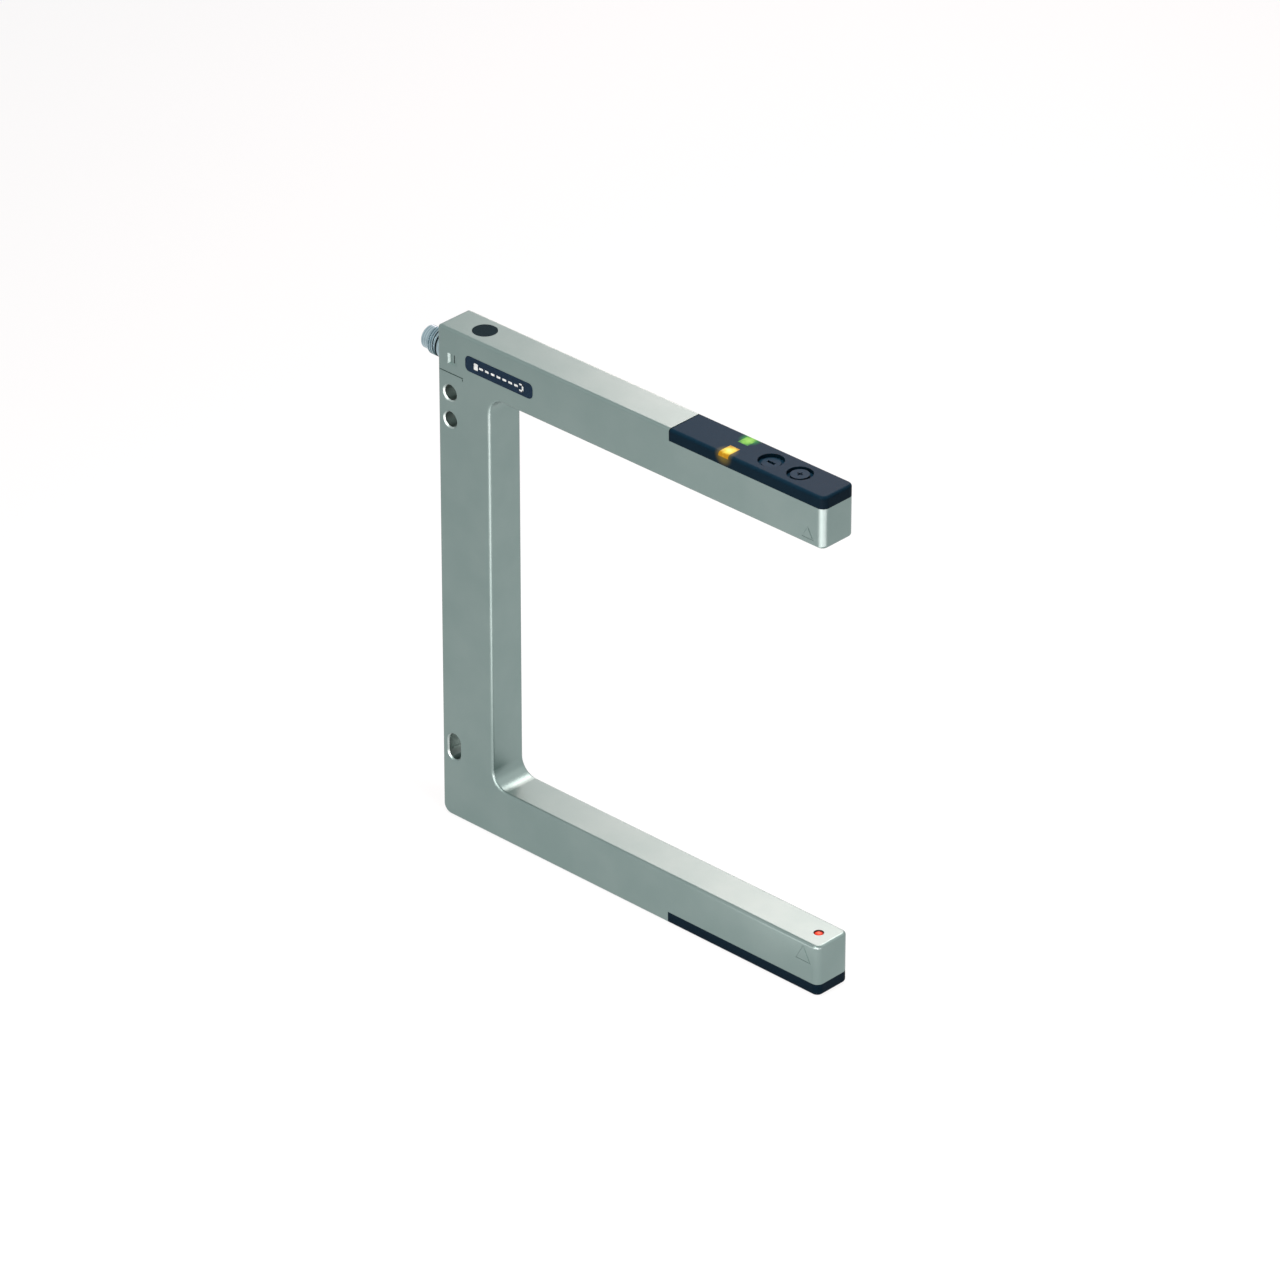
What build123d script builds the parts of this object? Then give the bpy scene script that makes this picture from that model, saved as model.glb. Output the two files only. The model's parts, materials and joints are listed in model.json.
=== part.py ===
"""Fork light barrier: a cast U-shaped housing with an emitter in one arm and a receiver in the other.

Sizes are in millimetres. The origin is the centre of the upper fixing hole, halfway through the housing.
X runs from the spine out along the arms, Y runs through the thickness and Z points up.
"""

from build123d import *
from math import radians, tan
import os

# Housing outline
thickness = 12.0
gap_height = 120.0
throat_depth = 120.0
spine_width = 19.1
arm_height = 15.3
edge_radius = 0.9
tip_corner_radius = 2.0
throat_corner_radius = 5.0
back_top_radius = 1.0
back_base_radius = 2.8

# Fixing holes for M4 screws, measured from the back face, the top face and the base
hole_diameter = 4.4
hole_inset = 4.5
hole_drop = 19.2
hole_pitch = 8.1
slot_length = 7.8
slot_rise = 22.0
hole_rim_chamfer = 0.4

# Covers over the electronics at the arm tips
cover_length = 54.5
cover_thickness = 3.5
cover_roof = 1.4
cover_end_radius = 0.4
spigot_depth = 2.0
spigot_wall = 0.8
spigot_clearance = 0.1
seal_height = 0.8
seal_width = 0.7

# Pockets in the arms, heights measured from the gap face outwards
pocket_width = 9.0
pocket_corner_radius = 1.5
pocket_end_wall = 1.8
pocket_inner_land = 2.2
floor_thickness = 1.8
board_seat_height = 3.2
board_side_ledge = 1.1
board_end_ledge = 0.4

# Wiring channels, their height measured from the gap face outwards
channel_diameter = 5.0
channel_height = 6.0
channel_plug_inset = 11.9
channel_plug_diameter = 7.0
channel_plug_head = 1.5
channel_plug_stem = 3.0
plug_clearance = 0.05

# Circuit boards
board_thickness = 0.8
board_clearance = 0.2
board_end_gap = 0.5
header_length = 3.0
header_width = 6.4
header_wire_cover = 0.5
header_end_gap = 1.5
chip_size = 4.0
chip_height = 1.0
small_part_length = 1.6
small_part_width = 0.8
small_part_height = 0.6
small_part_pitch_x = 2.2
small_part_pitch_y = 1.9
small_part_columns = 3
small_part_rows = 3

# Optics at the arm tips
lens_inset = 5.3
light_bore_diameter = 2.9
lens_clearance = 0.05
lens_recess = 0.1
lens_dome = 0.35
lens_flange_diameter = 4.0
lens_flange_height = 0.5
optic_chip_size = 2.6
optic_chip_height = 0.8
holder_length = 5.8
holder_width = 6.2
holder_corner_radius = 0.8
holder_bore_clearance = 0.1

# Indicator windows
window_inset = 35.2
window_length = 3.4
window_edge_gap = 1.4
window_depth = 1.1
light_leg_size = 2.0
light_leg_gap = 0.3
indicator_length = 2.0
indicator_width = 1.3
indicator_height = 0.7

# Turning controls
sensitivity_inset = 23.8
mode_inset = 13.7
recess_diameter = 7.2
recess_depth = 1.1
sensitivity_face_drop = 0.7
mode_face_drop = 0.2
lip_diameter = 5.3
lip_thickness = 0.5
control_bore_diameter = 5.8
boss_diameter = 7.8
boss_depth = 1.4
control_radial_gap = 0.08
control_axial_gap = 0.05
control_head_height = 3.0
control_collar_diameter = 4.2
control_stem_diameter = 3.0
control_stem_depth = 1.6
control_base_size = 6.4
control_base_height = 3.4
control_base_corner = 0.6
ring_groove_depth = 0.75
ring_groove_width = 1.1
control_seal_gap = 0.03
control_seal_chamfer = 0.25
screw_slot_length = 2.7
screw_slot_width = 0.9
screw_slot_depth = 0.8
screw_slot_angle = -2
cross_slot_length = 1.8
cross_slot_width = 0.5
cross_slot_depth = 0.5

# M8 connector on the back face, lengths measured outwards from that face
connector_seat_diameter = 7.0
connector_seat_depth = 6.0
connector_collar_length = 2.7
connector_groove_length = 0.7
connector_thread_length = 3.0
connector_thread_diameter = 8.0
connector_thread_chamfer = 0.5
connector_tip_length = 2.8
connector_tip_diameter = 6.6
connector_tip_chamfer = 0.35
connector_bore_diameter = 5.2
connector_cavity_depth = 7.5
insert_flange_diameter = 6.2
insert_flange_length = 1.0
insert_clearance = 0.05
connector_ring_section = 0.7
connector_ring_sides = 6
pin_diameter = 1.0
pin_square = 2.06
pin_reach = 4.6
pin_tail = 1.5
pin_clearance = 0.03

# Leads and ribbon
wire_diameter = 0.6
ribbon_width = 2.4
ribbon_thickness = 0.3
ribbon_bend_radius = 2.0
ribbon_drop = 1.7

# Plate and marks on the front face
plate_length = 24.8
plate_height = 4.6
plate_thickness = 0.4
plate_recess = 0.25
plate_corner_radius = 1.5
plate_edge_chamfer = 0.1
plate_inset = 22.8
plate_drop = 7.7
latch_window_width = 3.35
latch_window_height = 3.3
latch_window_depth = 0.6
latch_window_draft = 38
latch_window_inset = 5.5
latch_window_drop = 8.9
latch_seam_width = 0.3
latch_seam_depth = 0.4
latch_seam_offset = 0.25
groove_width = 0.35
groove_depth = 0.25
groove_length = 9.4
groove_drop = 13.1
groove_tick = 0.9
mark_line_width = 0.3
mark_line_depth = 0.1
mark_slimness = 0.9
lower_mark_size = 5.4
lower_mark_rise = 9.3
upper_mark_size = 4.0
upper_mark_rise = 1.8

# Places worked out from the sizes above
half = thickness / 2
back_x = -hole_inset
throat_x = back_x + spine_width
tip_x = throat_x + throat_depth
top_z = hole_drop
gap_top_z = top_z - arm_height
gap_base_z = gap_top_z - gap_height
base_z = gap_base_z - arm_height
cover_x = tip_x - cover_length
cover_seat_height = arm_height - cover_thickness
pocket_start_x = cover_x + pocket_inner_land
pocket_end_x = tip_x - pocket_end_wall
pocket_length = pocket_end_x - pocket_start_x
pocket_mid_x = (pocket_start_x + pocket_end_x) / 2
board_top_height = board_seat_height + board_thickness
board_width = pocket_width - 2 * board_clearance
board_length = pocket_length - 2 * board_end_gap
header_x = pocket_start_x + board_end_gap + header_end_gap
channel_z = gap_top_z + channel_height
channel_x = back_x + channel_plug_inset
lens_x = tip_x - lens_inset
window_x = tip_x - window_inset
window_width = half - window_edge_gap
window_y = window_edge_gap + window_width / 2
light_leg_y = window_edge_gap + light_leg_size / 2
sensitivity_x = tip_x - sensitivity_inset
mode_x = tip_x - mode_inset
latch_seam_height = latch_window_height - 2 * latch_window_depth * tan(radians(latch_window_draft))
seat_end_x = back_x + connector_seat_depth
insert_face_x = back_x - (connector_collar_length + connector_groove_length + connector_thread_length
                          + connector_tip_length) + connector_cavity_depth
insert_end_x = seat_end_x + insert_flange_length
pin_end_x = insert_end_x + pin_tail
pin_start_x = insert_face_x - pin_reach
beyond = 2.0
arms = ("upper", "lower")


def level(arm, height):
    """Z of a height that is measured from an arm's gap face outwards."""
    if arm == "upper":
        return gap_top_z + height
    return gap_base_z - height


def arm_plane(arm, height):
    """Plane across an arm at a height, facing away from the gap."""
    facing = 1 if arm == "upper" else -1
    return Plane(origin=(0, 0, level(arm, height)), x_dir=(1, 0, 0), z_dir=(0, 0, facing))


def finish(piece, name):
    """Label a finished piece and write it under its own name."""
    piece.part.label = name
    export_step(piece.part, f"parts/{name}.step")


# The whole outer form of the fork, which the housing and its two covers share so that they run flush
with BuildPart() as fork_form:
    with BuildSketch(Plane.XZ) as fork_outline:
        with BuildLine():
            Polyline(
                (tip_x, top_z),
                (back_x, top_z),
                (back_x, base_z),
                (tip_x, base_z),
                (tip_x, gap_base_z),
                (throat_x, gap_base_z),
                (throat_x, gap_top_z),
                (tip_x, gap_top_z),
                close=True,
            )
        make_face()
        fillet(fork_outline.vertices().filter_by(lambda v: abs(v.X - throat_x) < 0.01), throat_corner_radius)
        fillet(fork_outline.vertices().filter_by(lambda v: abs(v.X - back_x) < 0.01).sort_by(Axis.Y)[0],
               back_base_radius)
        fillet(fork_outline.vertices().filter_by(lambda v: abs(v.X - back_x) < 0.01).sort_by(Axis.Y)[-1],
               back_top_radius)
    extrude(amount=half, both=True)
    fillet(fork_form.edges().filter_by(Axis.Z).group_by(Axis.X)[-1], tip_corner_radius)
    side_edges = fork_form.faces().filter_by(Axis.Y).edges()
    tip_edge_x = tip_x - tip_corner_radius
    fillet(side_edges.filter_by(lambda e: abs(e.center().X - tip_edge_x) > 0.01), edge_radius)

# Zinc housing: fork form less the cover steps, pockets, channels, holes and marks
with BuildPart() as housing:
    add(fork_form.part)
    for arm in arms:
        with BuildSketch(arm_plane(arm, cover_seat_height)):
            with Locations(((cover_x + tip_x + beyond) / 2, 0)):
                Rectangle(cover_length + beyond, thickness + beyond)
        extrude(amount=cover_thickness + beyond, mode=Mode.SUBTRACT)
        with BuildSketch(arm_plane(arm, board_seat_height)):
            with Locations((pocket_mid_x, 0)):
                RectangleRounded(pocket_length, pocket_width, pocket_corner_radius)
        extrude(amount=cover_seat_height - board_seat_height, mode=Mode.SUBTRACT)
        with BuildSketch(arm_plane(arm, floor_thickness)):
            with Locations((pocket_mid_x, 0)):
                RectangleRounded(pocket_length - 2 * board_end_ledge, pocket_width - 2 * board_side_ledge,
                                 holder_corner_radius)
        extrude(amount=board_seat_height - floor_thickness, mode=Mode.SUBTRACT)
        with BuildSketch(arm_plane(arm, cover_seat_height - seal_height)):
            with Locations((pocket_mid_x, 0)):
                RectangleRounded(pocket_length + 2 * seal_width, pocket_width + 2 * seal_width,
                                 pocket_corner_radius + seal_width)
        extrude(amount=seal_height, mode=Mode.SUBTRACT)
        with BuildSketch(arm_plane(arm, floor_thickness)):
            with Locations((lens_x, 0)):
                Circle(light_bore_diameter / 2)
        extrude(amount=-floor_thickness, mode=Mode.SUBTRACT)
    with BuildSketch(Plane.YZ.offset(back_x)):
        with Locations((0, channel_z)):
            Circle(connector_seat_diameter / 2)
    extrude(amount=connector_seat_depth + insert_flange_length, mode=Mode.SUBTRACT)
    with BuildSketch(Plane.YZ.offset(back_x)):
        with Locations((0, channel_z)):
            Circle(channel_diameter / 2)
    extrude(amount=pocket_start_x - back_x, mode=Mode.SUBTRACT)
    with BuildSketch(Plane.YZ.offset(channel_x)):
        with Locations((0, level("lower", channel_height))):
            Circle(channel_diameter / 2)
    extrude(amount=pocket_start_x - channel_x, mode=Mode.SUBTRACT)
    with Locations((channel_x, 0, top_z)):
        CounterBoreHole(
            radius=channel_diameter / 2,
            counter_bore_radius=channel_plug_diameter / 2,
            counter_bore_depth=channel_plug_head,
            depth=top_z - level("lower", channel_height + channel_diameter / 2),
        )
    with BuildSketch(Plane.XZ):
        with Locations((0, 0), (0, -hole_pitch)):
            Circle(hole_diameter / 2)
        with Locations((0, base_z + slot_rise)):
            SlotOverall(slot_length, hole_diameter, rotation=90)
    extrude(amount=half, both=True, mode=Mode.SUBTRACT)
    sides = housing.faces().filter_by(Axis.Y).filter_by(lambda f: abs(abs(f.center().Y) - half) < 0.01)
    hole_rims = [edge for side in sides for rim in side.inner_wires() for edge in rim.edges()]
    chamfer(hole_rims, hole_rim_chamfer)
    with BuildSketch(Plane.XZ.offset(half)):
        with Locations((back_x + plate_inset, top_z - plate_drop)):
            RectangleRounded(plate_length, plate_height, plate_corner_radius)
    extrude(amount=-plate_recess, mode=Mode.SUBTRACT)
    with BuildSketch(Plane.XZ.offset(half)):
        with Locations((back_x + latch_window_inset, top_z - latch_window_drop)):
            Rectangle(latch_window_width, latch_window_height)
    extrude(amount=-latch_window_depth, taper=latch_window_draft, mode=Mode.SUBTRACT)
    with BuildSketch(Plane.XZ.offset(half - latch_window_depth)):
        with Locations((back_x + latch_window_inset + latch_seam_offset, top_z - latch_window_drop)):
            Rectangle(latch_seam_width, latch_seam_height)
    extrude(amount=-latch_seam_depth, mode=Mode.SUBTRACT)
    with BuildSketch(Plane.XZ.offset(half)):
        with Locations((back_x + groove_length / 2, top_z - groove_drop)):
            Rectangle(groove_length, groove_width)
        with Locations((back_x + groove_length - groove_width / 2, top_z - groove_drop - groove_tick / 2)):
            Rectangle(groove_width, groove_tick)
    extrude(amount=-groove_depth, mode=Mode.SUBTRACT)
    for mark_z, mark_size in (
        (base_z + lower_mark_rise, lower_mark_size),
        (gap_top_z + upper_mark_rise, upper_mark_size),
    ):
        with BuildSketch(Plane.XZ.offset(half)) as beam_mark:
            with BuildLine():
                Polyline(
                    (lens_x - mark_size / 2, mark_z),
                    (lens_x + mark_size / 2, mark_z),
                    (lens_x, mark_z + mark_size * mark_slimness),
                    close=True,
                )
            make_face()
            offset(amount=-mark_line_width, kind=Kind.INTERSECTION, mode=Mode.SUBTRACT)
        extrude(amount=-mark_line_depth, mode=Mode.SUBTRACT)
finish(housing, "housing")


def pocket_rectangle(grow, corner_radius):
    """Draw the pocket's outline, grown or shrunk by a margin all round, in the sketch being made."""
    with Locations((pocket_mid_x, 0)):
        RectangleRounded(pocket_length + 2 * grow, pocket_width + 2 * grow, corner_radius)


def cover_body(arm):
    """An arm's cover before its openings: its share of the fork form, hollowed, with a spigot."""
    with BuildPart() as body:
        add(fork_form.part)
        with BuildSketch(arm_plane(arm, cover_seat_height)):
            with Locations(((cover_x + tip_x) / 2, 0)):
                Rectangle(cover_length, thickness)
        extrude(amount=cover_thickness, mode=Mode.INTERSECT)
        inner_margin = -(spigot_clearance + spigot_wall)
        with BuildSketch(arm_plane(arm, cover_seat_height)):
            pocket_rectangle(inner_margin, pocket_corner_radius + inner_margin)
        extrude(amount=cover_thickness - cover_roof, mode=Mode.SUBTRACT)
        with BuildSketch(arm_plane(arm, cover_seat_height)):
            pocket_rectangle(-spigot_clearance, pocket_corner_radius - spigot_clearance)
            offset(amount=-spigot_wall, mode=Mode.SUBTRACT)
        extrude(amount=-spigot_depth)
    return body.part


# Upper cover: carries the two indicator windows and the bores of the two turning controls
controls = (("sensitivity", sensitivity_x), ("mode", mode_x))
upper_cover_body = cover_body("upper")
with BuildPart() as control_cover:
    add(upper_cover_body)
    end_edge = control_cover.edges().filter_by(Axis.Y).group_by(Axis.X)[0].sort_by(Axis.Z)[-1]
    fillet(end_edge, cover_end_radius)
    for name, control_x in controls:
        with BuildSketch(arm_plane("upper", cover_seat_height - boss_depth)):
            with Locations((control_x, 0)):
                Circle(boss_diameter / 2)
        extrude(amount=boss_depth + cover_thickness - cover_roof)
        with BuildSketch(arm_plane("upper", arm_height)):
            with Locations((control_x, 0)):
                Circle(recess_diameter / 2)
        extrude(amount=-recess_depth, mode=Mode.SUBTRACT)
        with BuildSketch(arm_plane("upper", arm_height - recess_depth)):
            with Locations((control_x, 0)):
                Circle(lip_diameter / 2)
        extrude(amount=-lip_thickness, mode=Mode.SUBTRACT)
        with BuildSketch(arm_plane("upper", cover_seat_height - boss_depth)):
            with Locations((control_x, 0)):
                Circle(control_bore_diameter / 2)
        extrude(amount=boss_depth + cover_thickness - recess_depth - lip_thickness, mode=Mode.SUBTRACT)
    with BuildSketch(arm_plane("upper", arm_height - window_depth)):
        with Locations((window_x, window_y), (window_x, -window_y)):
            Rectangle(window_length, window_width)
    extrude(amount=window_depth, mode=Mode.SUBTRACT)
    with BuildSketch(arm_plane("upper", arm_height - window_depth)):
        with Locations((window_x, light_leg_y), (window_x, -light_leg_y)):
            Rectangle(light_leg_size, light_leg_size)
    extrude(amount=window_depth - cover_roof, mode=Mode.SUBTRACT)
finish(control_cover, "control_cover")

# Lower cover: plain, with a sharp inner end
lower_cover_body = cover_body("lower")
with BuildPart() as emitter_cover:
    add(lower_cover_body)
finish(emitter_cover, "emitter_cover")

# Flat seals that lie in the rebates round the pocket mouths
for name, arm in (("control_cover_seal", "upper"), ("emitter_cover_seal", "lower")):
    with BuildPart() as cover_seal:
        with BuildSketch(arm_plane(arm, cover_seat_height - seal_height)):
            pocket_rectangle(seal_width, pocket_corner_radius + seal_width)
            offset(amount=-seal_width, mode=Mode.SUBTRACT)
        extrude(amount=seal_height)
    finish(cover_seal, name)

# Indicator light pipes: a window flush with the cover's top and side, on a square leg down to its indicator
for name, side in (("yellow_light_pipe", -1), ("green_light_pipe", 1)):
    with BuildPart() as light_pipe:
        add(fork_form.part)
        with BuildSketch(arm_plane("upper", arm_height - window_depth)):
            with Locations((window_x, side * window_y)):
                Rectangle(window_length, window_width)
        extrude(amount=window_depth, mode=Mode.INTERSECT)
        leg_end_height = board_top_height + indicator_height + light_leg_gap
        with BuildSketch(arm_plane("upper", leg_end_height)):
            with Locations((window_x, side * light_leg_y)):
                Rectangle(light_leg_size, light_leg_size)
        extrude(amount=arm_height - window_depth - leg_end_height)
    finish(light_pipe, name)

for name, side in (("yellow_indicator_led", -1), ("green_indicator_led", 1)):
    with BuildPart() as indicator_led:
        with BuildSketch(arm_plane("upper", board_top_height)):
            with Locations((window_x, side * light_leg_y)):
                Rectangle(indicator_length, indicator_width)
        extrude(amount=indicator_height)
        chamfer(indicator_led.faces().sort_by(Axis.Z)[-1].edges(), indicator_height / 5)
    finish(indicator_led, name)

# Turning controls: a stepped rotor held under the cover's lip, its ring, and the base that its stem turns in
base_top_height = board_top_height + control_base_height
head_top_height = arm_height - recess_depth - lip_thickness - control_axial_gap
head_radius = control_bore_diameter / 2 - control_radial_gap
face_radius = lip_diameter / 2 - control_radial_gap
ring_groove_radius = head_radius - ring_groove_depth


def control_rotor(control_x, face_drop):
    """The stepped rotor of a control, turned about its own axis, its neck standing up through the lip."""
    face_z = level("upper", arm_height - face_drop)
    head_top_z = level("upper", head_top_height)
    head_base_z = head_top_z - control_head_height
    ring_top_z = (head_top_z + head_base_z + ring_groove_width) / 2
    ring_base_z = ring_top_z - ring_groove_width
    collar_z = level("upper", base_top_height) + control_axial_gap
    stem_end_z = level("upper", base_top_height - control_stem_depth) + control_axial_gap
    with BuildPart() as turned:
        with BuildSketch(Plane.XZ):
            with BuildLine():
                Polyline(
                    (control_x, face_z),
                    (control_x + face_radius, face_z),
                    (control_x + face_radius, head_top_z),
                    (control_x + head_radius, head_top_z),
                    (control_x + head_radius, ring_top_z),
                    (control_x + ring_groove_radius, ring_top_z),
                    (control_x + ring_groove_radius, ring_base_z),
                    (control_x + head_radius, ring_base_z),
                    (control_x + head_radius, head_base_z),
                    (control_x + control_collar_diameter / 2, head_base_z),
                    (control_x + control_collar_diameter / 2, collar_z),
                    (control_x + control_stem_diameter / 2, collar_z),
                    (control_x + control_stem_diameter / 2, stem_end_z),
                    (control_x, stem_end_z),
                    close=True,
                )
            make_face()
        revolve(axis=Axis((control_x, 0, 0), (0, 0, 1)))
    return turned.part


sensitivity_rotor = control_rotor(sensitivity_x, sensitivity_face_drop)
with BuildPart() as sensitivity_adjuster:
    add(sensitivity_rotor)
    with BuildSketch(arm_plane("upper", arm_height - sensitivity_face_drop)):
        with Locations((sensitivity_x, 0)):
            Rectangle(screw_slot_length, screw_slot_width, rotation=screw_slot_angle)
    extrude(amount=-screw_slot_depth, mode=Mode.SUBTRACT)
finish(sensitivity_adjuster, "sensitivity_adjuster")

mode_rotor = control_rotor(mode_x, mode_face_drop)
with BuildPart() as mode_selector:
    add(mode_rotor)
    with BuildSketch(arm_plane("upper", arm_height - mode_face_drop)):
        with Locations((mode_x, 0)):
            Rectangle(cross_slot_length, cross_slot_width)
            Rectangle(cross_slot_width, cross_slot_length)
    extrude(amount=-cross_slot_depth, mode=Mode.SUBTRACT)
finish(mode_selector, "mode_selector")

ring_radius = control_bore_diameter / 2 - control_seal_gap
ring_width = ring_radius - ring_groove_radius
ring_height = head_top_height - control_head_height / 2
for name, control_x in controls:
    with BuildPart() as control_seal:
        with BuildSketch(Plane.XZ):
            with Locations((control_x + ring_radius - ring_width / 2, level("upper", ring_height))):
                seal_section = Rectangle(ring_width, ring_groove_width)
            chamfer(seal_section.vertices(), control_seal_chamfer)
        revolve(axis=Axis((control_x, 0, 0), (0, 0, 1)))
    finish(control_seal, f"{name}_seal")

for name, control_x in (("sensitivity_trimmer_base", sensitivity_x), ("mode_switch_base", mode_x)):
    with BuildPart() as control_base:
        with BuildSketch(arm_plane("upper", board_top_height)):
            with Locations((control_x, 0)):
                RectangleRounded(control_base_size, control_base_size, control_base_corner)
        extrude(amount=control_base_height)
        with BuildSketch(arm_plane("upper", base_top_height)):
            with Locations((control_x, 0)):
                Circle(control_stem_diameter / 2 + control_radial_gap)
        extrude(amount=-control_stem_depth, mode=Mode.SUBTRACT)
    finish(control_base, name)

# Circuit boards, each on the ledges along its pocket, with a wire header, chips and small parts
leads_top_height = channel_height + (pin_square + wire_diameter) / 2
chip_x = (header_x + header_length + window_x - light_leg_size / 2) / 2
amplifier_x = (mode_x + control_base_size / 2 + pocket_end_x - board_end_gap) / 2
small_parts_x = (window_x + light_leg_size / 2 + sensitivity_x - control_base_size / 2) / 2
small_parts_grid = GridLocations(small_part_pitch_x, small_part_pitch_y, small_part_columns, small_part_rows)
for arm, board_name, header_name, parts_name, chips in (
    ("upper", "control_board", "control_board_header", "control_board_parts",
     (("control_chip", chip_x), ("amplifier_chip", amplifier_x))),
    ("lower", "emitter_board", "emitter_board_header", "emitter_board_parts", (("driver_chip", chip_x),)),
):
    with BuildPart() as board:
        with BuildSketch(arm_plane(arm, board_seat_height)):
            with Locations((pocket_mid_x, 0)):
                RectangleRounded(board_length, board_width, pocket_corner_radius)
        extrude(amount=board_thickness)
    finish(board, board_name)
    with BuildPart() as header:
        with BuildSketch(arm_plane(arm, board_top_height)):
            with Locations((header_x + header_length / 2, 0)):
                Rectangle(header_length, header_width)
        extrude(amount=leads_top_height + header_wire_cover - board_top_height)
    finish(header, header_name)
    with BuildPart() as small_parts:
        with BuildSketch(arm_plane(arm, board_top_height)):
            with Locations((small_parts_x, 0)):
                with Locations(small_parts_grid.locations):
                    Rectangle(small_part_length, small_part_width)
        extrude(amount=small_part_height)
    finish(small_parts, parts_name)
    for chip_name, place_x in chips:
        with BuildPart() as chip:
            with BuildSketch(arm_plane(arm, board_top_height)):
                with Locations((place_x, 0)):
                    Rectangle(chip_size, chip_size)
            extrude(amount=chip_height)
        finish(chip, chip_name)

# Optics at each tip: a lens in the light bore, a light chip under the board and a holder round both
for arm, lens_name, holder_name, light_chip_name in (
    ("upper", "receiver_lens", "receiver_lens_holder", "receiver_photodiode"),
    ("lower", "emitter_lens", "emitter_lens_holder", "emitter_led"),
):
    lens_radius = light_bore_diameter / 2 - lens_clearance
    with BuildPart() as lens:
        with BuildSketch(Plane.XZ):
            with BuildLine():
                TangentArc(
                    (lens_x, level(arm, lens_recess)),
                    (lens_x + lens_radius, level(arm, lens_recess + lens_dome)),
                    tangent=(1, 0),
                )
                Polyline(
                    (lens_x + lens_radius, level(arm, lens_recess + lens_dome)),
                    (lens_x + lens_radius, level(arm, floor_thickness)),
                    (lens_x + lens_flange_diameter / 2, level(arm, floor_thickness)),
                    (lens_x + lens_flange_diameter / 2, level(arm, floor_thickness + lens_flange_height)),
                    (lens_x, level(arm, floor_thickness + lens_flange_height)),
                    (lens_x, level(arm, lens_recess)),
                )
            make_face()
        revolve(axis=Axis((lens_x, 0, 0), (0, 0, 1)))
    finish(lens, lens_name)
    with BuildPart() as holder:
        with BuildSketch(arm_plane(arm, floor_thickness)):
            with Locations((lens_x, 0)):
                RectangleRounded(holder_length, holder_width, holder_corner_radius)
                Circle(lens_flange_diameter / 2 + holder_bore_clearance, mode=Mode.SUBTRACT)
        extrude(amount=board_seat_height - floor_thickness)
    finish(holder, holder_name)
    with BuildPart() as light_chip:
        with BuildSketch(arm_plane(arm, board_seat_height)):
            with Locations((lens_x, 0)):
                Rectangle(optic_chip_size, optic_chip_size)
        extrude(amount=-optic_chip_height)
    finish(light_chip, light_chip_name)

# Plug that closes the wiring bore, its head flush with the top
with BuildPart() as channel_plug:
    with BuildSketch(Plane.XY.offset(top_z)):
        with Locations((channel_x, 0)):
            Circle(channel_plug_diameter / 2 - plug_clearance)
    extrude(amount=-channel_plug_head)
    with BuildSketch(Plane.XY.offset(top_z - channel_plug_head)):
        with Locations((channel_x, 0)):
            Circle(channel_diameter / 2 - plug_clearance)
    extrude(amount=-channel_plug_stem)
finish(channel_plug, "channel_plug")

# Bare plate in its shallow recess on the front
with BuildPart() as label_plate:
    with BuildSketch(Plane.XZ.offset(half - plate_recess)):
        with Locations((back_x + plate_inset, top_z - plate_drop)):
            RectangleRounded(plate_length - 2 * plug_clearance, plate_height - 2 * plug_clearance,
                             plate_corner_radius - plug_clearance)
    extrude(amount=plate_thickness)
    chamfer(label_plate.faces().sort_by(Axis.Y)[0].edges(), plate_edge_chamfer)
finish(label_plate, "label_plate")

# M8 connector: barrel with collar, ring groove, thread length and tip, pushed into the back face
collar_x = back_x - connector_collar_length
groove_x = collar_x - connector_groove_length
thread_x = groove_x - connector_thread_length
tip_end_x = thread_x - connector_tip_length
thread_radius = connector_thread_diameter / 2
groove_radius = thread_radius - connector_ring_section
tip_radius = connector_tip_diameter / 2
with BuildPart() as connector_shell:
    with BuildSketch(Plane.XZ):
        with BuildLine():
            Polyline(
                (seat_end_x, channel_z + connector_bore_diameter / 2),
                (seat_end_x, channel_z + connector_seat_diameter / 2 - plug_clearance),
                (back_x, channel_z + connector_seat_diameter / 2 - plug_clearance),
                (back_x, channel_z + thread_radius),
                (collar_x, channel_z + thread_radius),
                (collar_x, channel_z + groove_radius),
                (groove_x, channel_z + groove_radius),
                (groove_x, channel_z + thread_radius),
                (thread_x + connector_thread_chamfer, channel_z + thread_radius),
                (thread_x, channel_z + thread_radius - connector_thread_chamfer),
                (thread_x, channel_z + tip_radius),
                (tip_end_x + connector_tip_chamfer, channel_z + tip_radius),
                (tip_end_x, channel_z + tip_radius - connector_tip_chamfer),
                (tip_end_x, channel_z + connector_bore_diameter / 2),
                close=True,
            )
        make_face()
    revolve(axis=Axis((0, 0, channel_z), (1, 0, 0)))
finish(connector_shell, "connector_shell")

with BuildPart() as connector_o_ring:
    with BuildSketch(Plane.XZ):
        with Locations(((collar_x + groove_x) / 2, channel_z + groove_radius + connector_ring_section / 2)):
            RegularPolygon(connector_ring_section / 2, connector_ring_sides, rotation=90)
    revolve(axis=Axis((0, 0, channel_z), (1, 0, 0)))
finish(connector_o_ring, "connector_o_ring")

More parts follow.
